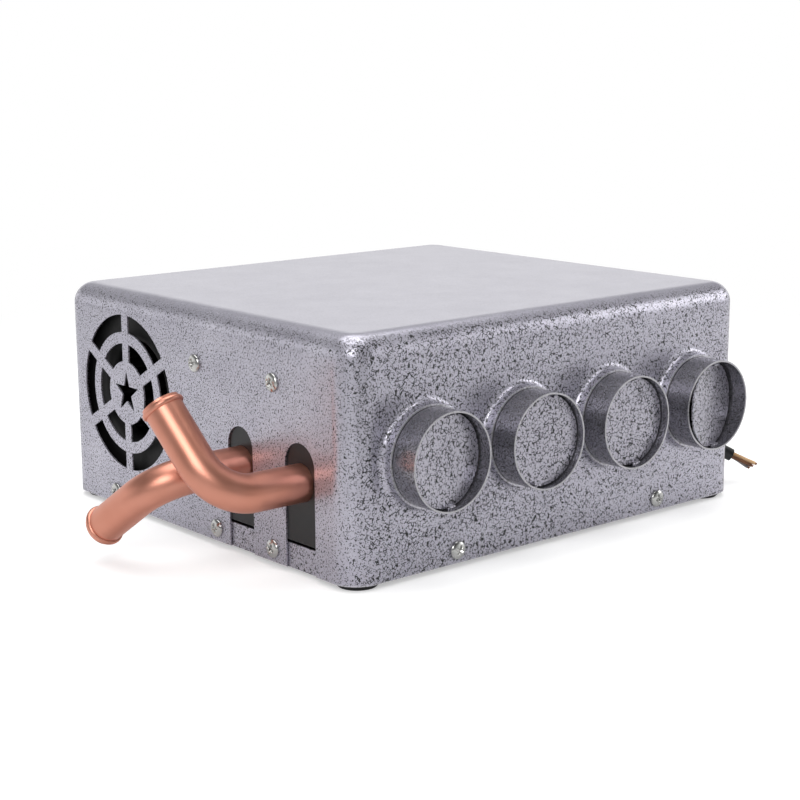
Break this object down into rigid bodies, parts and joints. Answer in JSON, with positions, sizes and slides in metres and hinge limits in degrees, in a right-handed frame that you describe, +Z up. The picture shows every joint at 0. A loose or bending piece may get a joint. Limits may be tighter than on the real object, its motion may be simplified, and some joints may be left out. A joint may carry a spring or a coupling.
{
  "type": "under-dash heater",
  "caption": "Box-shaped water heater with a drawn crackle-finish cover, round shut-off outlets along one face, end grilles and two bent copper water pipes.",
  "frame": {"origin": "middle of the tray's underside, level with the cover's lower edge; the rubber feet reach 3 mm below it", "axes": "+X to the right along the duct face, -Y the way the ducts point, +Z up"},
  "size_m": [0.3854, 0.2834, 0.123],
  "materials": {
    "crackle_coat": "black and silver-grey crackle powder coat, satin",
    "copper": "bare copper tube, brushed satin",
    "fin_aluminium": "plain fin stock",
    "bare_steel": "zinc-plated sheet and bar",
    "zinc_screw": "bright zinc plate",
    "bronze": "sintered bronze",
    "magnet": "ferrite",
    "lamination": "stacked laminations with windings",
    "black_moulding": "black moulding, semi-matt",
    "foam": "closed-cell foam strip",
    "black_rubber": "black rubber",
    "black_sleeve": "black insulating sleeve",
    "lead_cream": "insulated lead with a bare end",
    "lead_brown": "insulated lead with a bare end",
    "lead_grey": "insulated lead with a bare end"
  },
  "bodies": {
    "casing": {"cover": "crackle_coat", "base_tray": "crackle_coat", "duct_collar_1": "crackle_coat", "duct_collar_2": "crackle_coat", "duct_collar_3": "crackle_coat", "duct_collar_4": "crackle_coat", "pipe_near": "copper", "pipe_rear": "copper", "core_header_near": "copper", "core_header_rear": "copper", "core_tubes": "copper", "core_fins": "fin_aluminium", "core_plate_left": "bare_steel", "core_plate_right": "bare_steel", "core_seal_bottom": "foam", "core_seal_top": "foam", "core_bracket_left": "bare_steel", "core_bracket_right": "bare_steel", "scroll_left": "black_moulding", "scroll_right": "black_moulding", "scroll_inlet_left": "black_moulding", "scroll_inlet_right": "black_moulding", "motor_can": "bare_steel", "motor_cap_left": "bare_steel", "motor_cap_right": "bare_steel", "motor_bush_left": "bronze", "motor_bush_right": "bronze", "motor_magnets": "magnet", "motor_cradle": "bare_steel", "motor_strap": "bare_steel", "strap_screws": "zinc_screw", "screws_left_low": "zinc_screw", "screws_left_high": "zinc_screw", "screws_right_low": "zinc_screw", "screws_right_high": "zinc_screw", "screws_front": "zinc_screw", "screws_back": "zinc_screw", "foot_front_left": "black_rubber", "foot_front_right": "black_rubber", "foot_back_left": "black_rubber", "foot_back_right": "black_rubber", "lead_grommet": "black_rubber", "lead_sleeve": "black_sleeve", "lead_cream": "lead_cream", "lead_brown": "lead_brown", "lead_grey": "lead_grey"},
    "flap_1": {"flap_1": "crackle_coat"},
    "flap_2": {"flap_2": "crackle_coat"},
    "flap_3": {"flap_3": "crackle_coat"},
    "flap_4": {"flap_4": "crackle_coat"},
    "rotor": {"motor_shaft": "bare_steel", "motor_armature": "lamination", "blower_wheel_left": "black_moulding", "blower_wheel_right": "black_moulding"}
  },
  "joints": [
    {"name": "flap_1_turn", "type": "hinge", "parent": "casing", "child": "flap_1", "pos_m": [-0.096, -0.1473, 0.059], "axis": [0, 0, 1], "range_deg": [-97.5, 82.5]},
    {"name": "flap_2_turn", "type": "hinge", "parent": "casing", "child": "flap_2", "pos_m": [-0.032, -0.1473, 0.059], "axis": [0.2924, 0, 0.9563], "range_deg": [-89, 91]},
    {"name": "flap_3_turn", "type": "hinge", "parent": "casing", "child": "flap_3", "pos_m": [0.032, -0.1473, 0.059], "axis": [-0.0698, 0, 0.9976], "range_deg": [-91, 89]},
    {"name": "flap_4_turn", "type": "hinge", "parent": "casing", "child": "flap_4", "pos_m": [0.096, -0.1473, 0.059], "axis": [-0.0349, 0, 0.9994], "range_deg": [-105, 75]},
    {"name": "rotor_spin", "type": "hinge", "parent": "casing", "child": "rotor", "pos_m": [0, 0.066, 0.065], "axis": [1, 0, 0], "continuous": true}
  ]
}
